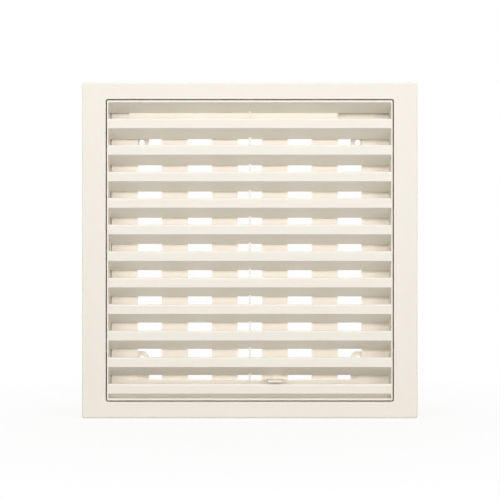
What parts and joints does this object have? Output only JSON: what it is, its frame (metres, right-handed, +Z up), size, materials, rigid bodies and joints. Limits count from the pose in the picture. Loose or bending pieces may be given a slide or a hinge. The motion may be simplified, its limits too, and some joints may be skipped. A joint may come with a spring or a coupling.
{
  "type": "adjustable ventilation grille",
  "caption": "Square wall grille with a flat frame, a louvred insert with lipped sloping blades, and a slotted shutter behind them that slides sideways by a small finger lever.",
  "frame": {"origin": "centre of the four wall screw holes, on the wall plane", "axes": "+X to the right as seen from the room, +Y into the wall, +Z up"},
  "size_m": [0.25, 0.024, 0.25],
  "materials": {
    "ivory_plastic": "fine satin moulded ABS, ivory"
  },
  "bodies": {
    "frame": {"frame": "ivory_plastic"},
    "cassette": {"louvre_insert": "ivory_plastic", "back_plate": "ivory_plastic"},
    "shutter": {"slide_shutter": "ivory_plastic"}
  },
  "joints": [
    {"name": "cassette_pull", "type": "slide", "parent": "frame", "child": "cassette", "axis": [0, -1, 0], "range_m": [0, 0.04]},
    {"name": "shutter_slide", "type": "slide", "parent": "cassette", "child": "shutter", "axis": [1, 0, 0], "range_m": [0, 0.0189]}
  ]
}
